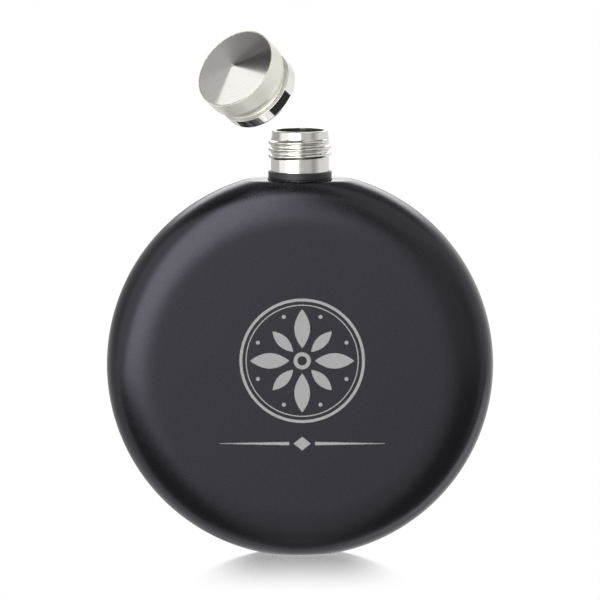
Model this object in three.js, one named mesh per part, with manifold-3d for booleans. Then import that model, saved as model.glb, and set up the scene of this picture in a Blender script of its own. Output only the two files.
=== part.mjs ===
// Round pocket flask with a screw cap, shown open.
// Millimetres. +Z is up, the two flat faces look along -Y (front) and +Y (rear).
// The origin is the middle of the small foot flat that the disc-shaped body stands on.

import * as THREE from 'three';
import { mergeVertices } from 'three/addons/utils/BufferGeometryUtils.js';
import Module from 'manifold-3d';

// ---------------------------------------------------------------- driving dimensions
// body
const BODY_RADIUS = 54.0;        // disc radius, 4 1/4 in across
const BODY_HALF_DEPTH = 12.7;    // half of the 1 in depth
const FACE_RADIUS = 38.9;        // where the flat face turns into the shoulder
const SHOULDER_POWER = 2.8;      // squareness of the shoulder curve
const WALL = 0.8;                // sheet thickness of the drawn halves
const CENTRE_Z = 53.15;          // disc centre above the foot flat
const LAND_Z = 52.03;            // flat under the neck, above the disc centre
const SEAM_HALF = 0.4;           // half width of the weld bead between the halves
const SEAM_GAP = 0.05;
const NECK_HOLE_RADIUS = 8.3;
// neck, heights above the disc centre
const BORE_RADIUS = 6.9;
const NECK_RADIUS = 8.1;
const LIP_RADIUS = 7.75;
const MOUTH_Z = 65.75;
const NECK_BOTTOM_Z = 50.4;
const THREAD_PITCH = 1.9;
const THREAD_TURNS = 3;
const THREAD_START_Z = 57.45;
const THREAD_RIDGE = 0.62;       // radius of the rolled ridge
const THREAD_RIDGE_R = 8.2;      // radius of the ridge's centre line
// rings at the foot of the neck
const SEAT_TOP_Z = 52.43;
const SEAT_RADIUS = 9.0;
const COLLAR_BOTTOM_Z = 52.53;
const COLLAR_TOP_Z = 54.31;
const COLLAR_RADIUS = 8.85;
// cap, heights above its own lower edge
const CAP_SEAT_Z = 54.61;        // lower edge when screwed down, above the disc centre
const CAP_RADIUS = 12.0;
const CAP_WAIST = 10.35;
const FLANGE_RADIUS = 11.36;
const FLANGE_HEIGHT = 3.85;
const HEAD_BOTTOM = 3.92;
const RIM_HEIGHT = 13.3;
const CONE_RISE = 1.6;
const ROOF_BOTTOM = 12.05;
const ROOF_TOP = 12.7;
const SLEEVE_BORE = 9.05;
const SLEEVE_RADIUS = 9.5;
const SLEEVE_TOP = 11.7;
const HEAD_BORE = 9.7;
const PLATE_RADIUS = 11.6;
const PLATE_SEAT = 12.9;
const CAP_RIDGE = 0.42;
const CAP_RIDGE_R = 9.0;
// seal, heights above the cap's lower edge when closed
const SEAL_BOTTOM = 11.2;
const SEAL_TOP = 12.0;
const SEAL_OUTER = 7.9;
const SEAL_INNER = 5.6;
// open position of the cap
const CAP_LIFT = 11.4;           // straight lift that clears the mouth
const CAP_TILT = 56.0;           // degrees leaned over, towards the left front
const LEAN = [-0.638, -0.77];    // direction of the lean in plan
const PIVOT_REACH = 18.936;      // swing axis from the neck axis, along the lean
const PIVOT_Z = 55.735;          // swing axis above the disc centre

// ---------------------------------------------------------------- helpers
const wasm = await Module();
wasm.setup();

// index a geometry on position alone and make its faces look outwards
function closed(geometry) {
  let g = geometry.clone();
  g.deleteAttribute('normal');
  g.deleteAttribute('uv');
  g = mergeVertices(g, 1e-4);
  const p = g.attributes.position.array;
  const i = g.index.array;
  const kept = [];
  for (let t = 0; t < i.length; t += 3) {
    const [a, b, c] = [i[t], i[t + 1], i[t + 2]];
    if (a !== b && b !== c && a !== c) kept.push(a, b, c);
  }
  let v = 0;
  for (let t = 0; t < kept.length; t += 3) {
    const [a, b, c] = [kept[t] * 3, kept[t + 1] * 3, kept[t + 2] * 3];
    v += p[a] * (p[b + 1] * p[c + 2] - p[b + 2] * p[c + 1])
       - p[a + 1] * (p[b] * p[c + 2] - p[b + 2] * p[c])
       + p[a + 2] * (p[b] * p[c + 1] - p[b + 1] * p[c]);
  }
  if (v < 0) for (let t = 0; t < kept.length; t += 3) [kept[t + 1], kept[t + 2]] = [kept[t + 2], kept[t + 1]];
  g.setIndex(kept);
  return g;
}

function solid(geometry) {
  const g = closed(geometry);
  return new wasm.Manifold(new wasm.Mesh({
    numProp: 3,
    vertProperties: new Float32Array(g.attributes.position.array),
    triVerts: new Uint32Array(g.index.array),
  }));
}

function geometryOf(manifold) {
  const m = manifold.getMesh();
  const g = new THREE.BufferGeometry();
  g.setAttribute('position', new THREE.BufferAttribute(new Float32Array(m.vertProperties), 3));
  g.setIndex(new THREE.BufferAttribute(new Uint32Array(m.triVerts), 1));
  g.computeVertexNormals();
  return g;
}

const V2 = (x, y) => new THREE.Vector2(x, y);

// turned about Z, from [radius, height] pairs
function turned(profile, segments) {
  const g = new THREE.LatheGeometry(profile.map(([r, z]) => V2(r, z)), segments);
  g.rotateX(Math.PI / 2);
  return g;
}

function ring(inner, outer, bottom, top, segments) {
  return turned([[inner, bottom], [outer, bottom], [outer, top], [inner, top], [inner, bottom]], segments);
}

function block(x0, x1, y0, y1, z0, z1) {
  const g = new THREE.BoxGeometry(x1 - x0, y1 - y0, z1 - z0);
  g.translate((x0 + x1) / 2, (y0 + y1) / 2, (z0 + z1) / 2);
  return solid(g);
}

// a round ridge on a right-hand helix; its ends run out into the wall at radius endR
class Helix extends THREE.Curve {
  constructor(radius, endR, startZ, pitch, turns, startAngle) {
    super();
    Object.assign(this, { radius, endR, startZ, pitch, turns, startAngle });
  }
  getPoint(t, target = new THREE.Vector3()) {
    const fade = 0.11 / this.turns;
    const k = Math.min(1, Math.min(t, 1 - t) / fade);
    const r = this.endR + (this.radius - this.endR) * k * k * (3 - 2 * k);
    const a = this.startAngle + t * this.turns * 2 * Math.PI;
    return target.set(r * Math.cos(a), r * Math.sin(a), this.startZ + this.pitch * this.turns * t);
  }
  getPointAt(t, target) { return this.getPoint(t, target); }
}

function ridge(radius, section, endR, startZ, turns, startAngle, stepsPerTurn) {
  const shape = new THREE.Shape();
  for (let k = 0; k < 8; k++) {
    const a = (k + 0.5) * Math.PI / 4;
    const [x, y] = [section * Math.cos(a), section * Math.sin(a)];
    if (k) shape.lineTo(x, y); else shape.moveTo(x, y);
  }
  shape.closePath();
  return solid(new THREE.ExtrudeGeometry(shape, {
    extrudePath: new Helix(radius, endR, startZ, THREAD_PITCH, turns, startAngle),
    steps: Math.round(stepsPerTurn * turns),
    bevelEnabled: false,
  }));
}

const finish = (color, roughness, metalness) => new THREE.MeshStandardMaterial({ color, roughness, metalness });

function piece(name, geometry, material, parent) {
  const mesh = new THREE.Mesh(geometry, material);
  mesh.name = name;
  parent.add(mesh);
  return mesh;
}

// ---------------------------------------------------------------- body
// half section of the disc, [radius, depth], from the front face round to the rear
function discProfile(radial, depth, steps) {
  const pts = [[0, -depth]];
  for (let s = 0; s <= 2 * steps; s++) {
    const t = -Math.PI / 2 + (s / (2 * steps)) * Math.PI;
    const c = Math.max(Math.cos(t), 0) ** (2 / SHOULDER_POWER);
    const d = Math.sign(Math.sin(t)) * Math.abs(Math.sin(t)) ** (2 / SHOULDER_POWER);
    pts.push([FACE_RADIUS + radial * c, depth * d]);
  }
  pts.push([0, depth]);
  return pts;
}

function disc(radial, depth, steps, segments) {
  const g = new THREE.LatheGeometry(discProfile(radial, depth, steps).map(([r, y]) => V2(r, y)), segments);
  g.translate(0, 0, CENTRE_Z);
  return solid(g);
}

const BIG = 80;
const shoulder = BODY_RADIUS - FACE_RADIUS;
const outer = disc(shoulder, BODY_HALF_DEPTH, 7, 72)
  .intersect(block(-BIG, BIG, -BIG, BIG, 0, CENTRE_Z + LAND_Z));
const inner = disc(shoulder - WALL, BODY_HALF_DEPTH - WALL, 5, 60)
  .intersect(block(-BIG, BIG, -BIG, BIG, WALL, CENTRE_Z + LAND_Z - WALL));
const neckHole = solid(turned([[0, CENTRE_Z + 40], [NECK_HOLE_RADIUS, CENTRE_Z + 40], [NECK_HOLE_RADIUS, CENTRE_Z + 60], [0, CENTRE_Z + 60]], 48));
const skin = outer.subtract(inner).subtract(neckHole);

const flask = new THREE.Group();
const coat = finish(0x2b2a2d, 0.5, 0.25);
piece('front_shell', geometryOf(skin.intersect(block(-BIG, BIG, -BIG, -SEAM_HALF - SEAM_GAP, -1, 120))), coat, flask);
piece('rear_shell', geometryOf(skin.intersect(block(-BIG, BIG, SEAM_HALF + SEAM_GAP, BIG, -1, 120))), coat.clone(), flask);
piece('seam_weld', geometryOf(skin.intersect(block(-BIG, BIG, -SEAM_HALF, SEAM_HALF, -1, 120))), finish(0x2a292c, 0.55, 0.3), flask);

// ---------------------------------------------------------------- neck
const z = (h) => CENTRE_Z + h;

// weld bead that fills the corner between the neck and the crowned shoulder
const bead = solid(ring(NECK_RADIUS + 0.1, SEAT_RADIUS, z(50.6), z(SEAT_TOP_Z), 40));
piece('neck_weld', geometryOf(bead.subtract(outer.translate([0, 0, 0.12]))), finish(0x3a393b, 0.5, 0.6), flask);

// black collar that the cap comes down to
piece('neck_collar', closed(turned([
  [NECK_RADIUS + 0.1, z(COLLAR_BOTTOM_Z)],
  [COLLAR_RADIUS, z(COLLAR_BOTTOM_Z)],
  [COLLAR_RADIUS, z(COLLAR_TOP_Z - 0.25)],
  [COLLAR_RADIUS - 0.25, z(COLLAR_TOP_Z)],
  [NECK_RADIUS + 0.1, z(COLLAR_TOP_Z)],
  [NECK_RADIUS + 0.1, z(COLLAR_BOTTOM_Z)],
], 40)), finish(0x161617, 0.45, 0.0), flask);

// threaded neck, a tube welded through the top of the body
const tube = solid(turned([
  [BORE_RADIUS, z(NECK_BOTTOM_Z)],
  [NECK_RADIUS, z(NECK_BOTTOM_Z)],
  [NECK_RADIUS, z(62.9)],
  [LIP_RADIUS, z(MOUTH_Z - 0.2)],
  [LIP_RADIUS - 0.25, z(MOUTH_Z)],
  [BORE_RADIUS + 0.15, z(MOUTH_Z)],
  [BORE_RADIUS, z(MOUTH_Z - 0.2)],
  [BORE_RADIUS, z(NECK_BOTTOM_Z)],
], 40));
const maleRidge = ridge(THREAD_RIDGE_R, THREAD_RIDGE, 7.5, z(THREAD_START_Z), THREAD_TURNS, 0, 18);
piece('neck_tube', geometryOf(tube.add(maleRidge)), finish(0xc9c9c8, 0.15, 1.0), flask);

// ---------------------------------------------------------------- cap, drawn closed, then lifted and leaned
const c = (h) => CENTRE_Z + CAP_SEAT_Z + h;
const pivot = new THREE.Vector3(LEAN[0] * PIVOT_REACH, LEAN[1] * PIVOT_REACH, CENTRE_Z + PIVOT_Z);
const axis = new THREE.Vector3(-LEAN[1], LEAN[0], 0).normalize();

const swing = new THREE.Group();          // leans about the swing axis
swing.position.copy(pivot);
swing.quaternion.setFromAxisAngle(axis, THREE.MathUtils.degToRad(CAP_TILT));
const closedFrame = new THREE.Group();    // back to the flask's own frame
closedFrame.position.copy(pivot).negate();
swing.add(closedFrame);
const raised = new THREE.Group();         // lifted and unscrewed by the same amount
raised.position.z = CAP_LIFT;
raised.rotation.z = (CAP_LIFT / THREAD_PITCH) * 2 * Math.PI;
closedFrame.add(raised);

// soft ring that seals on the lip of the mouth
piece('cap_gasket', closed(ring(SEAL_INNER, SEAL_OUTER, c(SEAL_BOTTOM), c(SEAL_TOP), 36)), finish(0xd9d8d2, 0.7, 0.0), closedFrame);

// spun top: a low cone let into the rim of the head
piece('cap_top_plate', closed(turned([
  [0, c(PLATE_SEAT)],
  [PLATE_RADIUS, c(PLATE_SEAT)],
  [PLATE_RADIUS, c(RIM_HEIGHT - 0.05)],
  [PLATE_RADIUS - 0.15, c(RIM_HEIGHT + 0.02)],
  [0, c(RIM_HEIGHT + CONE_RISE)],
], 48)), finish(0xb9b7b0, 0.3, 1.0), raised);

// head: a short cylinder under the rim that coves in to the waist
const head = [
  [0, c(ROOF_BOTTOM)],
  [HEAD_BORE, c(ROOF_BOTTOM)],
  [HEAD_BORE, c(HEAD_BOTTOM)],
  [CAP_WAIST, c(HEAD_BOTTOM)],
];
for (let s = 1; s <= 6; s++) {
  const u = s / 6;
  const k = u * u * (3 - 2 * u);
  head.push([CAP_WAIST + (CAP_RADIUS - CAP_WAIST) * k, c(HEAD_BOTTOM + (8.3 - HEAD_BOTTOM) * u)]);
}
head.push(
  [CAP_RADIUS, c(RIM_HEIGHT - 0.15)],
  [CAP_RADIUS - 0.15, c(RIM_HEIGHT)],
  [PLATE_RADIUS + 0.2, c(RIM_HEIGHT)],
  [PLATE_RADIUS + 0.2, c(ROOF_TOP)],
  [0, c(ROOF_TOP)],
);
piece('cap_head', closed(turned(head, 40)), finish(0xcfccc2, 0.35, 0.9), raised);

// sleeve: polished flange below the waist, with the threaded tube that goes up inside the head
const sleeveBody = solid(turned([
  [SLEEVE_BORE, c(0.3)],
  [SLEEVE_BORE + 0.3, c(0)],
  [FLANGE_RADIUS - 0.6, c(0)],
  [FLANGE_RADIUS - 0.18, c(0.22)],
  [FLANGE_RADIUS, c(0.6)],
  [FLANGE_RADIUS, c(FLANGE_HEIGHT - 0.15)],
  [FLANGE_RADIUS - 0.15, c(FLANGE_HEIGHT)],
  [SLEEVE_RADIUS, c(FLANGE_HEIGHT)],
  [SLEEVE_RADIUS, c(SLEEVE_TOP)],
  [SLEEVE_BORE, c(SLEEVE_TOP)],
  [SLEEVE_BORE, c(0.3)],
], 40));
const femaleStart = 59.8;   // above the disc centre when closed, half a pitch off the neck's ridge
const femaleAngle = ((femaleStart - THREAD_START_Z) / THREAD_PITCH - 0.5) * 2 * Math.PI;
const femaleRidge = ridge(CAP_RIDGE_R, CAP_RIDGE, 9.3, z(femaleStart), 2, femaleAngle, 18)
  .intersect(solid(turned([[0, z(54)], [SLEEVE_RADIUS - 0.08, z(54)], [SLEEVE_RADIUS - 0.08, z(70)], [0, z(70)]], 48)));
piece('cap_sleeve', geometryOf(sleeveBody.add(femaleRidge)), finish(0xe2e1dc, 0.08, 1.0), raised);

const root = new THREE.Group();
root.add(flask, swing);
root.updateMatrixWorld(true);

export default root;
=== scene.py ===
import math

import bpy
import numpy as np
from mathutils import Matrix, Vector

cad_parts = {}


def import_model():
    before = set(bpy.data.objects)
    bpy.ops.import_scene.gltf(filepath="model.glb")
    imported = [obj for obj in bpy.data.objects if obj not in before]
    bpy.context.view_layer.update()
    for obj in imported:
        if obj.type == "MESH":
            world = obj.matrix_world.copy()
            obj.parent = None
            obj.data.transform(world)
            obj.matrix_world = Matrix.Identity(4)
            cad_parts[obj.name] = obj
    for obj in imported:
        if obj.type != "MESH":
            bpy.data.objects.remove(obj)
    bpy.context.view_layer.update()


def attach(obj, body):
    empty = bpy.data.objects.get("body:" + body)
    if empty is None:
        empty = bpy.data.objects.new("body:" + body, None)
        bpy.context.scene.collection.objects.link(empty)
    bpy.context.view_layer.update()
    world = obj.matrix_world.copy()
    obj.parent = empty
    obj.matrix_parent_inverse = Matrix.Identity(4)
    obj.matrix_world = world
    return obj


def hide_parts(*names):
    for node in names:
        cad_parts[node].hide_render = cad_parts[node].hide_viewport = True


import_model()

MM = 0.001

# ------------------------------------------------------------------ camera
# A long lens, looking slightly down on the flask from the front.
cam_data = bpy.data.cameras.new("camera")
cam = bpy.data.objects.new("camera", cam_data)
bpy.context.collection.objects.link(cam)
bpy.context.scene.camera = cam
cam_data.sensor_width = 36.0
cam_data.lens = 324.5
cam_data.clip_start, cam_data.clip_end = 0.05, 50.0
EYE = Vector((0.0, -1500.0, 254.2)) * MM
AIM = Vector((0.0, 0.0, 71.2)) * MM
cam.location = EYE
cam.rotation_mode = "QUATERNION"
cam.rotation_quaternion = (AIM - EYE).to_track_quat("-Z", "Y")
bpy.context.scene.view_settings.view_transform = "Standard"

# ------------------------------------------------------------------ dimensions, mm, as in the CAD
R, HALF, FACE_R, POW, WALL = 54.0, 12.7, 38.9, 2.8, 0.8
ZC, LAND = 53.15, 52.03
BORE, NECK, LIP, MOUTH, NECK_BOTTOM = 6.9, 8.1, 7.75, 65.75, 50.4
PITCH = 1.9
CAP_SEAT, CAP_LIFT, TILT = 54.61, 11.4, math.radians(56.0)
LEAN = np.array([-0.638, -0.77])
PIVOT = Vector((LEAN[0] * 18.936, LEAN[1] * 18.936, ZC + 55.735))
SWING_AXIS = Vector((-LEAN[1], LEAN[0], 0.0)).normalized()


# ------------------------------------------------------------------ mesh code
def add_mesh(name, verts, faces, sharp=None):
    me = bpy.data.meshes.new(name)
    me.from_pydata((np.asarray(verts, float) * MM).tolist(), [], faces)
    me.validate()
    me.update()
    for p in me.polygons:
        p.use_smooth = True
    ob = bpy.data.objects.new(name, me)
    bpy.context.collection.objects.link(ob)
    return ob


def rounded(corners, n=6):
    """A closed (r, h) outline with each corner given as (r, h) or (r, h, radius)."""
    out = []
    m = len(corners)
    for i, cur in enumerate(corners):
        b = np.array(cur[:2], float)
        rad = cur[2] if len(cur) > 2 else 0.0
        if rad <= 0:
            out.append(b)
            continue
        a = np.array(corners[(i - 1) % m][:2], float)
        c = np.array(corners[(i + 1) % m][:2], float)
        va, vc = (a - b) / np.linalg.norm(a - b), (c - b) / np.linalg.norm(c - b)
        ang = math.acos(max(-1, min(1, float(va @ vc))))
        if ang > math.pi - 1e-3:
            out.append(b)
            continue
        t = min(rad / math.tan(ang / 2), 0.48 * np.linalg.norm(a - b), 0.48 * np.linalg.norm(c - b))
        rad = t * math.tan(ang / 2)
        centre = b + (va + vc) / np.linalg.norm(va + vc) * (rad / math.sin(ang / 2))
        p, q = b + va * t - centre, b + vc * t - centre
        sweep = math.pi - ang
        for k in range(n + 1):
            w = k / n
            s = (math.sin((1 - w) * sweep) * p + math.sin(w * sweep) * q) / math.sin(sweep)
            out.append(centre + s)
    return out


def supported(outline, closed=True, at=0.05, least=0.22):
    """Holds the shading flat on straight runs: a point close to each end of every long one."""
    out = []
    m = len(outline)
    for i in range(m):
        a = np.array(outline[i], float)
        out.append(a)
        if i == m - 1 and not closed:
            break
        b = np.array(outline[(i + 1) % m], float)
        d = np.linalg.norm(b - a)
        if d > least:
            out += [a + (b - a) * (at / d), b - (b - a) * (at / d)]
    return out


def subdivide(outline, step, closed=True):
    """More points along the long straight runs of an outline."""
    out = []
    m = len(outline)
    for i in range(m if closed else m - 1):
        a, b = np.array(outline[i]), np.array(outline[(i + 1) % m])
        k = max(1, int(math.ceil(np.linalg.norm(b - a) / step)))
        out += [a + (b - a) * j / k for j in range(k)]
    if not closed:
        out.append(np.array(outline[-1]))
    return out


def revolve(name, outline, segs, axis="Z", shape=None, closed=False):
    """Surface of revolution. outline runs outside-up; a point on the axis is a pole. shape(x, r, h, angle) may move the points."""
    verts, rows = [], []
    ang = np.arange(segs) * 2 * math.pi / segs
    for r, h in outline:
        if r < 1e-6:
            rows.append([len(verts)] * segs)
            verts.append((0.0, 0.0, h) if axis == "Z" else (0.0, h, 0.0))
            continue
        rr = np.full(segs, r)
        hh = np.full(segs, h)
        if shape is not None:
            rr, hh = shape(rr, hh, ang)
        rows.append(list(range(len(verts), len(verts) + segs)))
        x, y = rr * np.cos(ang), rr * np.sin(ang)
        verts += list(zip(x, y, hh)) if axis == "Z" else list(zip(x, hh, y))
    faces = []
    n = len(rows)
    for i in range(n if closed else n - 1):
        a, b = rows[i], rows[(i + 1) % n]
        for j in range(segs):
            k = (j + 1) % segs
            f = [a[j], a[k], b[k], b[j]]
            f = [v for q, v in enumerate(f) if v != f[q - 1]]
            if len(f) >= 3:
                faces.append(f if axis == "Z" else f[::-1])
    return np.array(verts), faces


# ------------------------------------------------------------------ materials
def new_material(name, base, roughness, metallic=0.0):
    m = bpy.data.materials.new(name)
    m.use_nodes = True
    bsdf = m.node_tree.nodes["Principled BSDF"]
    bsdf.inputs["Base Color"].default_value = (*base, 1.0)
    bsdf.inputs["Roughness"].default_value = roughness
    bsdf.inputs["Metallic"].default_value = metallic
    return m, m.node_tree, bsdf


def node(nt, kind, **values):
    n = nt.nodes.new(kind)
    for k, v in values.items():
        if k in n.inputs:
            n.inputs[k].default_value = v
        else:
            setattr(n, k, v)
    return n


def object_coords(nt):
    return node(nt, "ShaderNodeTexCoord").outputs["Object"]


def ranged(nt, source, lo, hi, a=0.0, b=1.0):
    n = node(nt, "ShaderNodeMapRange")
    n.inputs["From Min"].default_value, n.inputs["From Max"].default_value = a, b
    n.inputs["To Min"].default_value, n.inputs["To Max"].default_value = lo, hi
    nt.links.new(source, n.inputs["Value"])
    return n.outputs["Result"]


def bump(nt, bsdf, heights):
    """heights: (socket, strength, distance in m), chained."""
    normal = None
    for source, strength, distance in heights:
        b = node(nt, "ShaderNodeBump")
        b.inputs["Strength"].default_value = strength
        b.inputs["Distance"].default_value = distance
        nt.links.new(source, b.inputs["Height"])
        if normal is not None:
            nt.links.new(normal, b.inputs["Normal"])
        normal = b.outputs["Normal"]
    nt.links.new(normal, bsdf.inputs["Normal"])


def noise(nt, coords, scale, detail=2.0, rough=0.5, stretch=None):
    if stretch is not None:
        mp = node(nt, "ShaderNodeMapping")
        mp.inputs["Scale"].default_value = stretch
        nt.links.new(coords, mp.inputs["Vector"])
        coords = mp.outputs["Vector"]
    n = node(nt, "ShaderNodeTexNoise")
    n.inputs["Scale"].default_value = scale
    n.inputs["Detail"].default_value = detail
    n.inputs["Roughness"].default_value = rough
    nt.links.new(coords, n.inputs["Vector"])
    return n.outputs["Fac"]


def mixed(nt, factor, a, b):
    n = node(nt, "ShaderNodeMix", data_type="RGBA")
    n.inputs["A"].default_value = (*a, 1.0)
    n.inputs["B"].default_value = (*b, 1.0)
    # colour sockets of the mix node
    ca = [s for s in n.inputs if s.name == "A" and s.type == "RGBA"][0]
    cb = [s for s in n.inputs if s.name == "B" and s.type == "RGBA"][0]
    ca.default_value, cb.default_value = (*a, 1.0), (*b, 1.0)
    nt.links.new(factor, [s for s in n.inputs if s.name == "Factor" and s.type == "VALUE"][0])
    return [s for s in n.outputs if s.type == "RGBA"][0]


def around_axis(nt, coords):
    """Distance from the piece's own Z axis."""
    sep = node(nt, "ShaderNodeSeparateXYZ")
    nt.links.new(coords, sep.inputs[0])
    join = node(nt, "ShaderNodeCombineXYZ")
    nt.links.new(sep.outputs["X"], join.inputs["X"])
    nt.links.new(sep.outputs["Y"], join.inputs["Y"])
    length = node(nt, "ShaderNodeVectorMath", operation="LENGTH")
    nt.links.new(join.outputs[0], length.inputs[0])
    return length.outputs["Value"], sep.outputs["Z"]


def lines(nt, value, scale, detail=3.0):
    """Fine random grooves along one number, such as a radius or a height."""
    n = node(nt, "ShaderNodeTexNoise", noise_dimensions="1D")
    n.inputs["Scale"].default_value = scale
    n.inputs["Detail"].default_value = detail
    n.inputs["Roughness"].default_value = 0.7
    nt.links.new(value, n.inputs["W"])
    return n.outputs["Fac"]


def radial_tangent(nt, bsdf, amount):
    bsdf.inputs["Anisotropic"].default_value = amount
    bsdf.inputs["Anisotropic Rotation"].default_value = 0.25
    t = node(nt, "ShaderNodeTangent", direction_type="RADIAL", axis="Z")
    nt.links.new(t.outputs["Tangent"], bsdf.inputs["Tangent"])


def powder_coat(name, base=(0.0036, 0.0034, 0.0046), roughness=(0.25, 0.29)):
    m, nt, bsdf = new_material(name, base, 0.4)
    co = object_coords(nt)
    peel = noise(nt, co, 1100.0, 2.0, 0.45)
    grit = noise(nt, co, 5200.0, 1.0, 0.5)
    cloud = noise(nt, co, 60.0, 3.0, 0.5)
    nt.links.new(mixed(nt, ranged(nt, cloud, 0.0, 1.0, 0.3, 0.7), tuple(c * 0.93 for c in base), tuple(c * 1.07 for c in base)), bsdf.inputs["Base Color"])
    nt.links.new(ranged(nt, peel, roughness[0], roughness[1], 0.3, 0.7), bsdf.inputs["Roughness"])
    bump(nt, bsdf, [(peel, 0.05, 0.00003), (grit, 0.04, 0.00001)])
    bsdf.inputs["Specular IOR Level"].default_value = 0.5
    bsdf.inputs["Specular Tint"].default_value = (0.87, 0.84, 1.0, 1.0)
    return m


def bright_steel(name, base, roughness, groove, groove_scale, aniso=0.0, wear=0.0, metal=1.0):
    """Turned steel: grooves run round the piece's own Z axis."""
    m, nt, bsdf = new_material(name, base, roughness[0], metal)
    co = object_coords(nt)
    r, h = around_axis(nt, co)
    cut = lines(nt, h, groove_scale)
    smear = noise(nt, co, 240.0, 3.0, 0.6)
    nt.links.new(ranged(nt, smear, roughness[0], roughness[1], 0.3, 0.7), bsdf.inputs["Roughness"])
    heights = [(cut, groove, 0.00002)]
    if wear:
        heights.append((noise(nt, co, 900.0, 3.0, 0.6, (1, 1, 0.15)), wear, 0.00001))
    bump(nt, bsdf, heights)
    if aniso:
        radial_tangent(nt, bsdf, aniso)
    return m


COAT = powder_coat("powder_coat")
COAT_WELD = powder_coat("powder_coat_over_weld", roughness=(0.30, 0.38))
NECK_STEEL = bright_steel("neck_polished_steel", (0.72, 0.715, 0.665), (0.10, 0.16), 0.10, 2600.0, wear=0.05)
HEAD_STEEL = bright_steel("cap_satin_steel", (0.91, 0.90, 0.81), (0.40, 0.48), 0.10, 5200.0, aniso=0.3, metal=0.55)
SLEEVE_STEEL = bright_steel("cap_mirror_steel", (0.88, 0.87, 0.85), (0.03, 0.06), 0.02, 1500.0)


def spun_top():
    m, nt, bsdf = new_material("cap_spun_steel", (0.76, 0.75, 0.71), 0.22, 1.0)
    co = object_coords(nt)
    r, h = around_axis(nt, co)
    fine, coarse = lines(nt, r, 9000.0, 4.0), lines(nt, r, 1700.0, 2.0)
    nt.links.new(ranged(nt, fine, 0.11, 0.16, 0.3, 0.7), bsdf.inputs["Roughness"])
    nt.links.new(mixed(nt, coarse, (0.71, 0.70, 0.66), (0.79, 0.78, 0.75)), bsdf.inputs["Base Color"])
    bump(nt, bsdf, [(fine, 0.05, 0.00001), (coarse, 0.02, 0.00001)])
    radial_tangent(nt, bsdf, 0.95)
    return m


def black_collar():
    m, nt, bsdf = new_material("collar_black", (0.012, 0.012, 0.013), 0.38)
    co = object_coords(nt)
    r, h = around_axis(nt, co)
    nt.links.new(ranged(nt, noise(nt, co, 900.0, 2.0), 0.32, 0.46, 0.3, 0.7), bsdf.inputs["Roughness"])
    bump(nt, bsdf, [(lines(nt, h, 3500.0), 0.12, 0.00002), (noise(nt, co, 3000.0), 0.08, 0.00001)])
    return m


def silicone():
    m, nt, bsdf = new_material("gasket_silicone", (0.78, 0.77, 0.73), 0.45)
    co = object_coords(nt)
    fog = noise(nt, co, 500.0, 3.0)
    nt.links.new(mixed(nt, fog, (0.72, 0.71, 0.67), (0.84, 0.83, 0.80)), bsdf.inputs["Base Color"])
    nt.links.new(ranged(nt, fog, 0.40, 0.55, 0.3, 0.7), bsdf.inputs["Roughness"])
    bump(nt, bsdf, [(noise(nt, co, 2600.0), 0.15, 0.00002)])
    bsdf.inputs["Subsurface Weight"].default_value = 0.25
    bsdf.inputs["Subsurface Scale"].default_value = 0.0006
    bsdf.inputs["Subsurface Radius"].default_value = (1.0, 0.9, 0.8)
    return m


def etched():
    m, nt, bsdf = new_material("etched_mark", (0.32, 0.32, 0.32), 0.5, 0.35)
    co = object_coords(nt)
    scan = node(nt, "ShaderNodeTexWave", wave_type="BANDS", bands_direction="Z")
    scan.inputs["Scale"].default_value = 2200.0
    scan.inputs["Distortion"].default_value = 1.5
    nt.links.new(co, scan.inputs["Vector"])
    speck = noise(nt, co, 2400.0, 2.0)
    nt.links.new(mixed(nt, speck, (0.30, 0.30, 0.30), (0.36, 0.36, 0.36)), bsdf.inputs["Base Color"])
    nt.links.new(ranged(nt, speck, 0.45, 0.6, 0.3, 0.7), bsdf.inputs["Roughness"])
    bump(nt, bsdf, [(scan.outputs["Fac"], 0.12, 0.00001), (speck, 0.15, 0.00001)])
    return m


# ------------------------------------------------------------------ body
def crowned(radial, depth, seam, steps):
    """(r, y) from the middle of the face to the seam, front half (y < 0)."""
    pts = [(0.0, -depth)] + [(q, -depth) for q in (3.0, 9.0, 16.0, 23.0, 29.0, 34.0, 37.0)]
    for s in range(steps + 1):
        t = -math.pi / 2 + (s / steps) * math.pi / 2
        r = FACE_R + radial * max(math.cos(t), 0.0) ** (2 / POW)
        y = -depth * abs(math.sin(t)) ** (2 / POW)
        if y > -seam - 1e-6:
            break
        pts.append((r, y))
    k = (max(0.0, 1 - (seam / depth) ** POW)) ** (1 / POW)
    if abs(pts[-1][1] + seam) > 0.02:
        pts.append((FACE_R + radial * k, -seam))
    return pts


def soft_top(z, top, w):
    d = z - (top - w)
    return np.where(d <= 0, z, np.where(d >= 2 * w, top, z - d * d / (4 * w)))


def flatten(verts, top, bottom, w_top=0.3, w_bottom=0.45):
    v = verts.copy()
    z = soft_top(v[:, 2], top, w_top)
    z = -soft_top(-z, -bottom, w_bottom)
    v[:, 2] = z
    return v


def drawn_half(name, seam, sign):
    segs = 384
    outer = crowned(R - FACE_R, HALF, seam, 56)
    inner = crowned(R - FACE_R - WALL, HALF - WALL, seam, 30)
    # a tiny break on the outer edge of the seam
    outer = outer[:-1] + [(outer[-1][0], outer[-1][1] - 0.06), (outer[-1][0] - 0.05, outer[-1][1])]
    ov, of_ = revolve(name, outer, segs, "Y")
    iv, if_ = revolve(name, inner, segs, "Y")
    ov, iv = flatten(ov, LAND, -ZC), flatten(iv, LAND - WALL, -ZC + WALL)
    n = len(ov)
    faces = [list(f) for f in of_] + [[q + n for q in f][::-1] for f in if_]
    a0, b0 = n - segs, n + len(iv) - segs
    for j in range(segs):
        k = (j + 1) % segs
        faces.append([a0 + j, b0 + j, b0 + k, a0 + k])
    v = np.vstack([ov, iv])
    v[:, 2] += ZC
    if sign > 0:
        v[:, 1] *= -1
        faces = [f[::-1] for f in faces]
    return add_mesh(name, v, faces)


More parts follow.
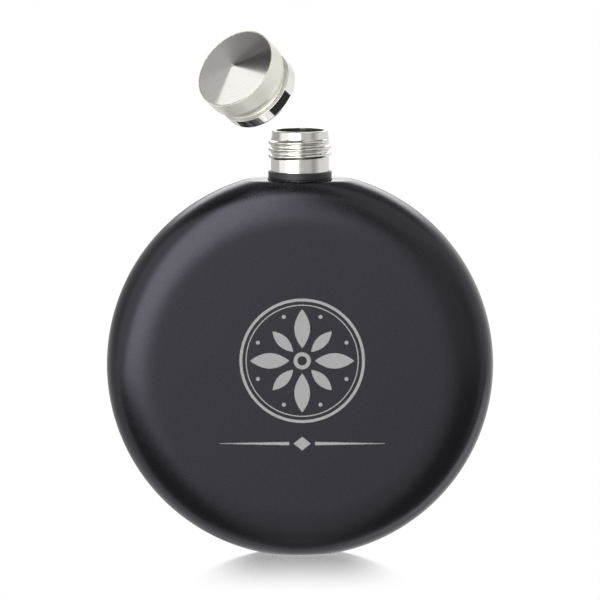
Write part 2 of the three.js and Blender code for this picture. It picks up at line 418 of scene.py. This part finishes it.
def cut_hole(ob, radius, z0, z1):
    """Cuts the round hole for the neck."""
    cv, cf = revolve("cutter", [(0, z0), (radius, z0), (radius, z1), (0, z1)], 128)
    cutter = add_mesh("cutter", cv, cf)
    mod = ob.modifiers.new("hole", "BOOLEAN")
    mod.operation, mod.object, mod.solver = "DIFFERENCE", cutter, "EXACT"
    dg = bpy.context.evaluated_depsgraph_get()
    me = bpy.data.meshes.new_from_object(ob.evaluated_get(dg))
    ob.modifiers.clear()
    ob.data = me
    bpy.data.objects.remove(cutter)
    for p in me.polygons:
        p.use_smooth = True


front = drawn_half("front_half", 0.45, -1)
rear = drawn_half("rear_half", 0.45, 1)


def seam_ring():
    segs = 384
    ro = FACE_R + (R - FACE_R) * (1 - (0.4 / HALF) ** POW) ** (1 / POW)
    ri = R - WALL
    outline = [(ri, -0.4), (ro - 0.05, -0.4), (ro, -0.34), (R, -0.15), (R, 0.15), (ro, 0.34), (ro - 0.05, 0.4), (ri, 0.4)]
    v, f = revolve("seam", outline, segs, "Y", closed=True)
    r = np.hypot(v[:, 0], v[:, 2])
    out = r > (ri + 0.2)
    v[out] = flatten(v[out], LAND, -ZC)
    v[~out] = flatten(v[~out], LAND - WALL, -ZC + WALL)
    v[:, 2] += ZC
    return add_mesh("seam_bead", v, f)


seam = seam_ring()
for part in (front, rear, seam):
    cut_hole(part, 8.3, ZC + 40, ZC + 60)
    part.data.materials.clear()
    part.data.materials.append(COAT if part is not seam else COAT_WELD)
    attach(part, "flask")
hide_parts("front_shell")
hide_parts("rear_shell")
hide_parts("seam_weld")


# ------------------------------------------------------------------ neck
def thread_height(z, ang, start_z, start_ang, turns, half, height, run=0.14):
    """Height of a rolled right-hand thread above the wall at (angle, z)."""
    out = np.zeros_like(z)
    for k in range(-1, int(turns) + 3):
        t = ((ang - start_ang) % (2 * math.pi)) / (2 * math.pi) + k      # turns from the start
        zc = start_z + PITCH * t
        d = np.abs(z - zc)
        fade = np.clip(np.minimum(t, turns - t) / run, 0, 1)
        fade = fade * fade * (3 - 2 * fade)
        c = np.clip(d / half, 0, 1)
        prof = np.cos(c * math.pi / 2) ** 1.5
        prof = 1 - (1 - prof) ** 1.4
        out = np.maximum(out, np.where(d < half, height * prof * fade, 0))
    return out


def neck():
    z = lambda h: ZC + h
    outside = [(NECK - 0.1, z(NECK_BOTTOM)), (NECK, z(NECK_BOTTOM + 0.1)), (NECK, z(NECK_BOTTOM + 0.2)), (NECK, z(54.0)), (NECK, z(56.5)), (NECK, z(56.62))]
    rows = np.arange(56.68, 63.4, 0.055)
    outside += [(float(np.interp(h, [62.9, MOUTH], [NECK, LIP])), z(h)) for h in rows]
    top = [(7.995, z(63.5)), (7.985, z(63.6)), (LIP + 0.02, z(MOUTH - 0.22), 0.1), (LIP - 0.2, z(MOUTH), 0.16), (BORE + 0.1, z(MOUTH), 0.1), (BORE, z(MOUTH - 0.12), 0.1), (BORE, z(NECK_BOTTOM), 0.1)]
    top = supported(rounded(top, 5), closed=False)
    outline = outside + [tuple(p) for p in top if not (p[1] < z(60) and p[0] > 7.3)]
    ang_n = 256

    def shape(rr, hh, ang):
        h = hh - ZC
        if rr[0] > 7.97 and 56.64 < h[0] < 63.45:
            rr = rr + thread_height(h, ang, 57.45, 0.0, 3.0, 0.76, 8.80 - NECK)
        return rr, hh

    v, f = revolve("neck", outline, ang_n, "Z", shape, closed=True)
    ob = add_mesh("threaded_neck", v, f)
    ob.data.materials.append(NECK_STEEL)
    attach(ob, "flask")
    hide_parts("neck_tube")
    return ob


neck_ob = neck()


def body_top(x, y):
    """Height of the body's outer surface over (x, y), from the disc centre."""
    prof = FACE_R + (R - FACE_R) * (1 - np.clip(np.abs(y) / HALF, 0, 1) ** POW) ** (1 / POW)
    z = np.sqrt(np.maximum(prof ** 2 - x ** 2, 0))
    return soft_top(z, LAND, 0.3)


def weld():
    """Bead in the corner between the neck and the crowned shoulder: its foot follows the body."""
    segs = 256
    ang = np.arange(segs) * 2 * math.pi / segs
    rng = np.random.default_rng(7)
    wobble = sum(rng.uniform(0.2, 1.0) * np.sin(ang * k + rng.uniform(0, 6.28)) for k in (23, 31, 37)) * 0.012
    ri, ro = NECK + 0.1, 9.0
    # rows from inner foot, outer foot, up the face, over the top, and down the bore
    section = [(0.0, 0.0), (0.55, 0.0), (0.9, 0.0), (1.0, 0.16), (0.99, 0.55), (0.9, 0.86), (0.7, 0.98), (0.4, 1.0), (0.1, 1.0), (0.0, 0.92), (0.0, 0.5)]
    verts, faces = [], []
    for a, b in section:
        r = ri + (ro - ri) * a + (wobble if a > 0.3 else 0)
        foot = body_top(r * np.cos(ang), r * np.sin(ang)) + 0.1
        top = np.maximum(52.43, foot + 0.22)
        zz = foot + (top - foot) * b
        verts += list(zip(r * np.cos(ang), r * np.sin(ang), zz + ZC))
    n = len(section)
    for i in range(n):
        for j in range(segs):
            k = (j + 1) % segs
            p = (i + 1) % n
            faces.append([i * segs + j, i * segs + k, p * segs + k, p * segs + j])
    ob = add_mesh("neck_bead", verts, faces)
    ob.data.materials.append(COAT_WELD)
    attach(ob, "flask")
    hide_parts("neck_weld")


weld()


def collar():
    z = lambda h: ZC + h
    outline = supported(rounded([(8.2, z(52.53), 0.08), (8.85, z(52.53), 0.12), (8.85, z(54.31), 0.2), (8.2, z(54.31), 0.08)], 7))
    v, f = revolve("collar", outline, 192, "Z", closed=True)
    ob = add_mesh("neck_ring", v, f)
    ob.data.materials.append(black_collar())
    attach(ob, "flask")
    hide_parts("neck_collar")


collar()

# ------------------------------------------------------------------ cap, each piece in its own axes
SWUNG = Matrix.Translation(PIVOT * MM) @ Matrix.Rotation(TILT, 4, SWING_AXIS) @ Matrix.Translation(-PIVOT * MM)
SEAT = Matrix.Translation(Vector((0, 0, (ZC + CAP_SEAT) * MM)))
RAISED = SWUNG @ Matrix.Translation(Vector((0, 0, CAP_LIFT * MM))) @ Matrix.Rotation(CAP_LIFT / PITCH * 2 * math.pi, 4, "Z") @ SEAT


def cap_piece(name, v, f, material, matrix, body, cad):
    ob = add_mesh(name, v, f)
    ob.data.materials.append(material)
    ob.matrix_world = matrix
    bpy.context.view_layer.update()
    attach(ob, body)
    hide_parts(cad)
    return ob


def head():
    cove = []
    for s in range(1, 25):
        u = s / 25
        k = u * u * (3 - 2 * u)
        cove.append((10.35 + (12.0 - 10.35) * k, 3.92 + (8.3 - 3.92) * u))
    outline = rounded(
        [(0.0, 12.05), (9.7, 12.05, 0.2), (9.7, 3.92, 0.08), (10.35, 3.92, 0.04)] + cove +
        [(12.0, 8.3), (12.0, 13.3, 0.16), (11.8, 13.3, 0.04), (11.8, 12.7, 0.1), (0.0, 12.7)], 6)
    outline = supported(outline, closed=False)
    return revolve("head", outline, 224)


v, f = head()
cap_piece("cap_knob", v, f, HEAD_STEEL, RAISED, "cap", "cap_head")


def top_plate():
    cone = [(11.6 - 0.1, 13.3)]
    for q in (10.0, 8.0, 6.0, 4.0, 2.5, 1.5, 0.9, 0.5, 0.25):
        cone.append((q, 13.3 + 1.6 * (1 - q / 11.5) - (0.06 if q < 0.3 else 0.02 if q < 0.6 else 0.0)))
    cone.append((0.0, 14.9 - 0.07))
    outline = supported(rounded([(0.0, 12.9), (11.6, 12.9, 0.08), (11.6, 13.27, 0.1)] + cone, 5), closed=False)
    return revolve("plate", outline, 224)


v, f = top_plate()
cap_piece("cap_top", v, f, spun_top(), RAISED, "cap_top", "cap_top_plate")


def sleeve():
    bore_rows = np.arange(11.4, 1.2, -0.055)
    outer = rounded([
        (9.05, 0.35, 0.2), (9.35, 0.0, 0.15), (11.36, 0.0, 0.7), (11.36, 3.85, 0.14), (9.5, 3.85, 0.04), (9.5, 11.7, 0.1), (9.05, 11.7, 0.1), (9.05, 11.4)], 6)
    outer = supported(outer, closed=False)
    outline = [tuple(p) for p in outer] + [(9.05, float(h)) for h in bore_rows[1:]]

    def shape(rr, hh, ang):
        if rr[0] < 9.051 and 1.1 < hh[0] < 11.35:
            rr = rr - thread_height(hh + CAP_SEAT, ang, 59.8, ((59.8 - 57.45) / PITCH - 0.5) * 2 * math.pi, 2.0, 0.44, 0.47, 0.12)
        return rr, hh

    return revolve("sleeve", outline, 224, "Z", shape, closed=True)


v, f = sleeve()
cap_piece("cap_flange", v, f, SLEEVE_STEEL, RAISED, "cap", "cap_sleeve")


def gasket():
    outline = supported(rounded([(5.6, 11.2, 0.14), (7.9, 11.2, 0.18), (7.9, 12.0, 0.18), (5.6, 12.0, 0.14)], 6))
    return revolve("gasket", outline, 160, closed=True)


v, f = gasket()
cap_piece("seal_ring", v, f, silicone(), SWUNG @ SEAT, "seal", "cap_gasket")


# ------------------------------------------------------------------ plain geometric mark on the front face
def face_mark():
    verts, faces = [], []
    y0, y1 = -HALF - 0.03, -HALF + 0.2

    def solid(left, right, ends=True):
        """A thin solid over the strip between two equal-length (x, z) lines."""
        n, base = len(left), len(verts)
        for y in (y0, y1):
            for a, b in zip(left, right):
                verts.append((a[0], y, a[1] + ZC))
                verts.append((b[0], y, b[1] + ZC))
        F = lambda i, s: base + 2 * i + s
        B = lambda i, s: base + 2 * n + 2 * i + s
        loop = range(n - 1) if ends else range(n)
        for i in loop:
            j = (i + 1) % n
            faces.append([F(i, 0), F(i, 1), F(j, 1), F(j, 0)])
            faces.append([B(i, 0), B(j, 0), B(j, 1), B(i, 1)])
            faces.append([F(i, 0), F(j, 0), B(j, 0), B(i, 0)])
            faces.append([F(j, 1), F(i, 1), B(i, 1), B(j, 1)])
        if ends:
            faces.append([F(0, 1), F(0, 0), B(0, 0), B(0, 1)])
            faces.append([F(n - 1, 0), F(n - 1, 1), B(n - 1, 1), B(n - 1, 0)])

    def ring(cx, cz, r0, r1, n=160):
        a = np.arange(n) * 2 * math.pi / n
        solid([(cx + r1 * math.cos(q), cz + r1 * math.sin(q)) for q in a], [(cx + r0 * math.cos(q), cz + r0 * math.sin(q)) for q in a], ends=False)

    def petal(cx, cz, ang, r0, r1, width, n=28, split=0.0):
        left, right = [], []
        c, s = math.cos(ang), math.sin(ang)
        for i in range(n + 1):
            t = i / n
            r = r0 + (r1 - r0) * t
            w = width * math.sin(math.pi * t) ** 0.85 + 0.02
            left.append((cx + r * c - w * s, cz + r * s + w * c))
            right.append((cx + r * c + w * s, cz + r * s - w * c))
        solid(right, left)

    cx, cz = 0.6, 2.6
    ring(cx, cz, 16.6, 17.4)
    ring(cx, cz, 15.4, 15.7)
    for k in range(8):
        a = k * math.pi / 4 + math.pi / 2
        petal(cx, cz, a, 3.6, 14.4 if k % 2 == 0 else 11.6, 2.15 if k % 2 == 0 else 1.5)
    ring(cx, cz, 1.3, 2.4, 64)
    for k in range(8):
        a = k * math.pi / 4 + math.pi / 8
        x, z = cx + 13.3 * math.cos(a), cz + 13.3 * math.sin(a)
        ring(x, z, 0.02, 0.55, 24)
    # rule with a lozenge under the rosette
    bz = -20.6
    for s in (-1, 1):
        xs = np.linspace(3.6, 23.0, 20)
        up = [(cx + s * x, bz + 0.42 * (1 - (x - 3.6) / 19.4) + 0.06) for x in xs]
        dn = [(cx + s * x, bz - 0.42 * (1 - (x - 3.6) / 19.4) - 0.06) for x in xs]
        solid(up, dn) if s < 0 else solid(dn, up)
    xs = np.linspace(-2.4, 2.4, 9)
    solid([(cx + x, bz - (2.4 - abs(x)) * 0.8 - 0.01) for x in xs], [(cx + x, bz + (2.4 - abs(x)) * 0.8 + 0.01) for x in xs])
    me_ob = add_mesh("face_mark", verts, faces)
    for p in me_ob.data.polygons:
        p.use_smooth = False
    me_ob.data.materials.append(etched())
    return me_ob


mark = face_mark()
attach(mark, "flask")


# ------------------------------------------------------------------ stage and light
def plane(name, size, centre, normal, material):
    n = Vector(normal).normalized()
    q = n.to_track_quat("Z", "Y").to_matrix()
    w, h = size
    verts = [tuple((Vector(centre) + q @ Vector((x * w / 2, y * h / 2, 0))) / 1.0) for x, y in ((-1, -1), (1, -1), (1, 1), (-1, 1))]
    ob = add_mesh(name, verts, [[0, 1, 2, 3]])
    ob.data.materials.append(material)
    return ob


def floor():
    m, nt, bsdf = new_material("floor_white", (0.88, 0.88, 0.88), 0.35)
    out = nt.nodes["Material Output"]
    path = node(nt, "ShaderNodeLightPath")
    glow = node(nt, "ShaderNodeEmission")
    glow.inputs["Color"].default_value = (1, 1, 1, 1)
    glow.inputs["Strength"].default_value = 1.0
    gloss = node(nt, "ShaderNodeBsdfGlossy")
    gloss.inputs["Roughness"].default_value = 0.10
    gloss.inputs["Color"].default_value = (1, 1, 1, 1)
    sheet = node(nt, "ShaderNodeMixShader")
    # the mirror image fades out towards the front and to both sides
    sep = node(nt, "ShaderNodeSeparateXYZ")
    nt.links.new(object_coords(nt), sep.inputs[0])
    side = node(nt, "ShaderNodeMath", operation="ABSOLUTE")
    nt.links.new(sep.outputs["X"], side.inputs[0])
    fades = []
    for value, near, far, top in ((side.outputs[0], 0.010, 0.032, 0.72), (sep.outputs["Y"], 0.004, -0.068, 1.0)):
        fade = node(nt, "ShaderNodeMapRange", interpolation_type="SMOOTHSTEP")
        fade.inputs["From Min"].default_value, fade.inputs["From Max"].default_value = near, far
        fade.inputs["To Min"].default_value, fade.inputs["To Max"].default_value = top, 0.0
        nt.links.new(value, fade.inputs["Value"])
        fades.append(fade.outputs["Result"])
    both = node(nt, "ShaderNodeMath", operation="MULTIPLY")
    nt.links.new(fades[0], both.inputs[0])
    nt.links.new(fades[1], both.inputs[1])
    nt.links.new(both.outputs[0], sheet.inputs[0])
    nt.links.new(glow.outputs[0], sheet.inputs[1])
    nt.links.new(gloss.outputs[0], sheet.inputs[2])
    under = node(nt, "ShaderNodeBsdfTransparent")
    mix = node(nt, "ShaderNodeMixShader")
    nt.links.new(path.outputs["Is Camera Ray"], mix.inputs[0])
    nt.links.new(under.outputs[0], mix.inputs[1])
    nt.links.new(sheet.outputs[0], mix.inputs[2])
    nt.links.new(mix.outputs[0], out.inputs["Surface"])
    plane("floor", (6000, 6000), (0, 0, -0.05), (0, 0, 1), m)
    # clear sheet on the floor: it marks the light that the floor mirrors, so the world can make that plain white
    v = bpy.data.materials.new("floor_veil")
    v.use_nodes = True
    v.node_tree.nodes.clear()
    o = v.node_tree.nodes.new("ShaderNodeOutputMaterial")
    t = v.node_tree.nodes.new("ShaderNodeBsdfTransparent")
    v.node_tree.links.new(t.outputs[0], o.inputs["Surface"])
    plane("floor_veil", (6000, 6000), (0, 0, -0.02), (0, 0, 1), v)


floor()


def world():
    """The studio as seen from the object: soft boxes, pale walls and dark cards, by azimuth and elevation in degrees.
    Azimuth 0 is towards the front (-Y), positive to the right (+X)."""
    w = bpy.data.worlds.new("studio")
    bpy.context.scene.world = w
    w.use_nodes = True
    nt = w.node_tree
    nt.nodes.clear()
    out = node(nt, "ShaderNodeOutputWorld")
    path = node(nt, "ShaderNodeLightPath")
    co = node(nt, "ShaderNodeTexCoord")
    sep = node(nt, "ShaderNodeSeparateXYZ")
    nt.links.new(co.outputs["Generated"], sep.inputs[0])

    def math_node(op, a, b=None):
        n = node(nt, "ShaderNodeMath", operation=op)
        for i, v in enumerate((a, b)):
            if v is None:
                continue
            if isinstance(v, (int, float)):
                n.inputs[i].default_value = v
            else:
                nt.links.new(v, n.inputs[i])
        return n.outputs[0]

    az = math_node("MULTIPLY", math_node("ARCTAN2", sep.outputs["X"], math_node("MULTIPLY", sep.outputs["Y"], -1.0)), 57.29578)
    el = math_node("MULTIPLY", math_node("ARCSINE", sep.outputs["Z"]), 57.29578)
    # azimuth counted from the back, for cards that straddle it
    back = math_node("MULTIPLY", math_node("ARCTAN2", sep.outputs["X"], sep.outputs["Y"]), 57.29578)

    def step(value, at, soft, up=True):
        n = node(nt, "ShaderNodeMapRange", interpolation_type="SMOOTHSTEP")
        n.inputs["From Min"].default_value, n.inputs["From Max"].default_value = at - soft, at + soft
        n.inputs["To Min"].default_value, n.inputs["To Max"].default_value = (0.0, 1.0) if up else (1.0, 0.0)
        nt.links.new(value, n.inputs["Value"])
        return n.outputs["Result"]

    level = None

    def card(strength, a, e, soft_a=4.0, soft_e=4.0, coord=None, extra=None):
        """Replaces the light inside a window of azimuths a and elevations e."""
        nonlocal level
        mask = extra
        for value, (lo, hi), soft in ((coord if coord is not None else az, a, soft_a), (el, e, soft_e)):
            for at, up in ((lo, True), (hi, False)):
                if at is None:
                    continue
                m = step(value, at, soft, up)
                mask = m if mask is None else math_node("MULTIPLY", mask, m)
        n = node(nt, "ShaderNodeMix", data_type="FLOAT")
        nt.links.new(mask, n.inputs[0])
        if isinstance(level, float):
            n.inputs[2].default_value = level
        else:
            nt.links.new(level, n.inputs[2])
        n.inputs[3].default_value = strength
        level = n.outputs[0]

    level = 0.90
    for c in CARDS:
        kind = c.get("coord", "az")
        coord = {"az": az, "back": back}.get(kind)
        if kind == "strip":
            # a narrow card that leans: azimuth 82 low down, 108 at the level of the cap
            e2 = math_node("MULTIPLY", math_node("POWER", math_node("MAXIMUM", math_node("ADD", el, 50.0), 0.0), 2.0), 0.0104)
            coord = math_node("SUBTRACT", az, math_node("ADD", e2, 82.0))
        extra = None
        if kind == "key":
            # right edge of the key slants: further left low down
            lean = step(el, -4.0, 5.0)
            coord = math_node("SUBTRACT", az, math_node("MULTIPLY", lean, 12.0))
            # its left and top edges bend towards one corner at azimuth -97, elevation 42
            up2 = math_node("MULTIPLY", math_node("POWER", math_node("MAXIMUM", math_node("SUBTRACT", el, 4.0), 0.0), 2.0), 0.0125)
            low = math_node("MULTIPLY", step(el, -2.5, 1.0, False), 6.5)
            left = math_node("ADD", math_node("ADD", az, up2), low)
            top = math_node("ADD", el, math_node("MULTIPLY", math_node("POWER", math_node("ADD", az, 38.0), 2.0), 0.0035))
            extra = math_node("MULTIPLY", step(left, -82.0, 0.6), step(top, 54.4, 0.6, False))
        if kind == "back" and c.get("wedge"):
            # open only above a line that rises to both sides
            side = math_node("MULTIPLY", math_node("ABSOLUTE", back), 0.7)
            extra = step(math_node("SUBTRACT", el, side), 2.5, 2.5)
        card(c["L"], c["a"], c["e"], c.get("sa", 4.0), c.get("se", 4.0), coord, extra)

    light = node(nt, "ShaderNodeBackground")
    light.inputs["Color"].default_value = (1, 1, 1, 1)
    nt.links.new(level, light.inputs["Strength"])
    seen = node(nt, "ShaderNodeBackground")
    seen.inputs["Color"].default_value = (1, 1, 1, 1)
    seen.inputs["Strength"].default_value = 1.0
    mirrored = math_node("MULTIPLY", math_node("GREATER_THAN", path.outputs["Transparent Depth"], 0.5), math_node("GREATER_THAN", el, 0.0))
    mix = node(nt, "ShaderNodeMixShader")
    nt.links.new(math_node("MAXIMUM", path.outputs["Is Camera Ray"], mirrored), mix.inputs[0])
    nt.links.new(light.outputs[0], mix.inputs[1])
    nt.links.new(seen.outputs[0], mix.inputs[2])
    nt.links.new(mix.outputs[0], out.inputs["Surface"])


CARDS = [
    # pale surroundings
    dict(L=0.46, a=(-185, -92), e=(-3, 70), sa=3, se=5),                  # back left wall
    dict(L=0.60, a=(-185, -92), e=(-30, -3), sa=3, se=5),
    dict(L=0.58, a=(-112, -89), e=(14, 36), sa=4, se=5),
    dict(L=0.27, a=(-128, -104), e=(40, 70), sa=4, se=3),
    dict(L=0.30, a=(100, 185), e=(38, 90), sa=10, se=3),
    dict(L=0.80, a=(100, 150), e=(12, 38), sa=8, se=4),
    dict(L=2.3, a=(-34, 36), e=(None, 36.5), sa=6, se=3, coord="back", wedge=True),      # glow low down behind
    dict(L=1.9, a=(90, 118), e=(-75, -14), sa=2, se=3),                   # right, low
    # in front of the flask
    dict(L=0.66, a=(-14, 80), e=(-14, 30), sa=6, se=6),
    # floor side
    dict(L=0.15, a=(-78, -13), e=(-66, -13), sa=6, se=6),
    dict(L=0.16, a=(13, 74), e=(-66, -7.5), sa=5, se=1.5),
    dict(L=0.65, a=(-14, 14), e=(-60, -34), sa=5, se=8),
    dict(L=0.36, a=(-60, 60), e=(None, -62), sa=20, se=6),
    # dark overhead
    dict(L=0.04, a=(-97, 25), e=(48.5, 90), sa=4, se=1.5),
    dict(L=0.13, a=(-112, -95), e=(46.5, 90), sa=4, se=2),
    dict(L=0.24, a=(-150, -110), e=(44, 90), sa=6, se=3),
    dict(L=0.06, a=(0, 20), e=(13, 42), sa=3, se=3),
    # darker strip for the right of the neck
    dict(L=0.42, a=(46, 66), e=(-12, 14), sa=6, se=3),
    # narrow dark card to the right, low
    dict(L=0.03, a=(-7, 7), e=(-57.5, -7.6), sa=0.8, se=0.6, coord="strip"),
    dict(L=0.05, a=(-168, -159), e=(-42, -33), sa=1.0, se=1.0),
    # key soft box, upper left of the camera
    dict(L=1.22, a=(None, -12.5), e=(-11, None), sa=0.8, se=1.0, coord="key"),
    dict(L=3.9, a=(-56, -12.5), e=(-11, None), sa=8, se=1.0, coord="key"),
]
world()

# ------------------------------------------------------------------ update the scene, and done
bpy.context.view_layer.update()
